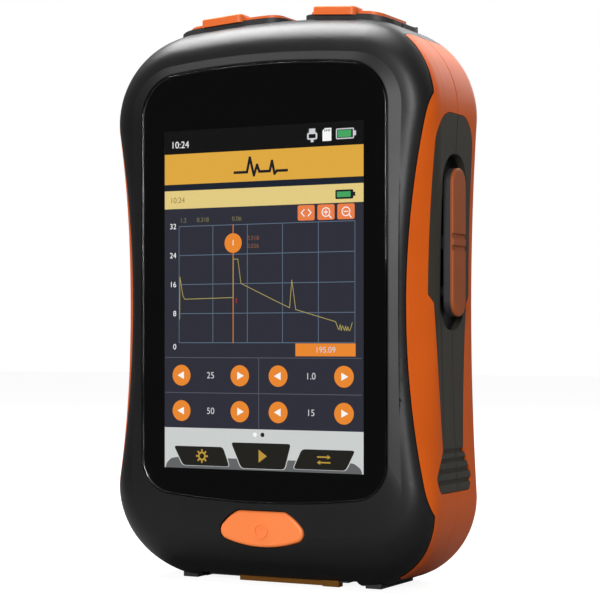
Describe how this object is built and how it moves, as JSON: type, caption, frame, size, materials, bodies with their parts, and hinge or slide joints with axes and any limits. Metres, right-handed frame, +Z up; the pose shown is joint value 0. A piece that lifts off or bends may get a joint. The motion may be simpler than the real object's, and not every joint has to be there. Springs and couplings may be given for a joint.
{
  "type": "optical time domain reflectometer",
  "caption": "Handheld fibre tester: waisted case with soft side grips, touch display, power key, side rocker, hinged covers over optical ports, and a bottom lid over sockets.",
  "frame": {"origin": "under the middle of the case, at the level of its two feet", "axes": "+Z up with the instrument standing on its feet, -Y out of the display, +X to the right seen from the front"},
  "size_m": [0.1012, 0.042, 0.1613],
  "materials": {
    "hard_shell": "fine satin texture",
    "soft_orange": "soft satin",
    "soft_grip": "soft matte",
    "dark_rubber": "matte",
    "orange_rubber": "matte",
    "gold_strip": "lacquered",
    "key_orange": "satin",
    "rocker_orange": "satin",
    "lens_glass": "polished",
    "black_ink": "printed",
    "display": "smooth",
    "steel": "plain",
    "aluminium_plate": "sheet",
    "black_nylon": "moulded",
    "nickel": "plated",
    "ceramic": "ground",
    "circuit_board": "solder mask",
    "chip_black": "moulded",
    "spool_plastic": "moulded",
    "fibre_yellow": "coated fibre",
    "battery_wrap": "shrink wrap",
    "screw_steel": "blackened",
    "lamp_clear": "polished"
  },
  "bodies": {
    "case": {"front_shell": "hard_shell", "back_shell": "hard_shell", "bumper_right_front": "soft_orange", "bumper_right_back": "soft_orange", "bumper_left_front": "soft_orange", "bumper_left_back": "soft_orange", "grip_right_front": "soft_grip", "grip_right_back": "soft_grip", "grip_left_front": "soft_grip", "grip_left_back": "soft_grip", "seal_gasket": "dark_rubber", "front_glass": "lens_glass", "display_mask": "black_ink", "lcd_panel": "display", "lcd_tray": "steel", "display_bracket": "aluminium_plate", "bracket_screws": "steel", "power_switch": "black_nylon", "rocker_carrier": "black_nylon", "rocker_pin": "steel", "rocker_switches": "black_nylon", "port_deck_left": "black_nylon", "port_deck_right": "black_nylon", "otdr_port": "nickel", "meter_port": "nickel", "vfl_port": "nickel", "ferrule_sleeves": "ceramic", "cover_left_pin": "steel", "cover_right_pin": "steel", "main_board": "circuit_board", "board_chips": "chip_black", "shield_can": "steel", "buzzer": "black_nylon", "board_screws": "steel", "optical_module": "aluminium_plate", "fibre_spool": "spool_plastic", "fibre_coil": "fibre_yellow", "battery_pack": "battery_wrap", "battery_clamp": "steel", "battery_socket": "black_nylon", "bottom_lid_pin": "steel", "usb_socket": "nickel", "card_slot": "nickel", "foot_left": "dark_rubber", "foot_right": "dark_rubber", "case_screws": "screw_steel", "lamp_lens": "lamp_clear"},
    "power_key": {"power_button": "key_orange"},
    "rocker": {"side_rocker": "dark_rubber", "rocker_face": "rocker_orange"},
    "left_cover": {"cover_left_base": "dark_rubber", "cover_left_inlay": "orange_rubber", "cover_left_tab": "orange_rubber"},
    "right_cover": {"cover_right_base": "dark_rubber", "cover_right_inlay": "orange_rubber", "cover_right_tab": "orange_rubber"},
    "lid": {"bottom_lid": "dark_rubber", "bottom_lid_strip": "gold_strip"}
  },
  "joints": [
    {"name": "power_key_slide", "type": "slide", "parent": "case", "child": "power_key", "axis": [0, 1, 0], "range_m": [0, 0.0006], "stiffness_N_per_m": 3000},
    {"name": "rocker_hinge", "type": "hinge", "parent": "case", "child": "rocker", "pos_m": [0.0431, 0, 0.0951], "axis": [0, 1, 0], "range_deg": [-2, 2], "stiffness_Nm_per_rad": 0.8},
    {"name": "left_cover_hinge", "type": "hinge", "parent": "case", "child": "left_cover", "pos_m": [-0.01642, 0.0146, 0.15808], "axis": [-0.998, 0, -0.0631], "range_deg": [0, 110]},
    {"name": "right_cover_hinge", "type": "hinge", "parent": "case", "child": "right_cover", "pos_m": [0.02033, 0.0146, 0.15781], "axis": [-0.9969, 0, 0.0781], "range_deg": [0, 110]},
    {"name": "lid_hinge", "type": "hinge", "parent": "case", "child": "lid", "pos_m": [0, 0.0054, 0.0023], "axis": [1, 0, 0], "range_deg": [0, 100]}
  ]
}
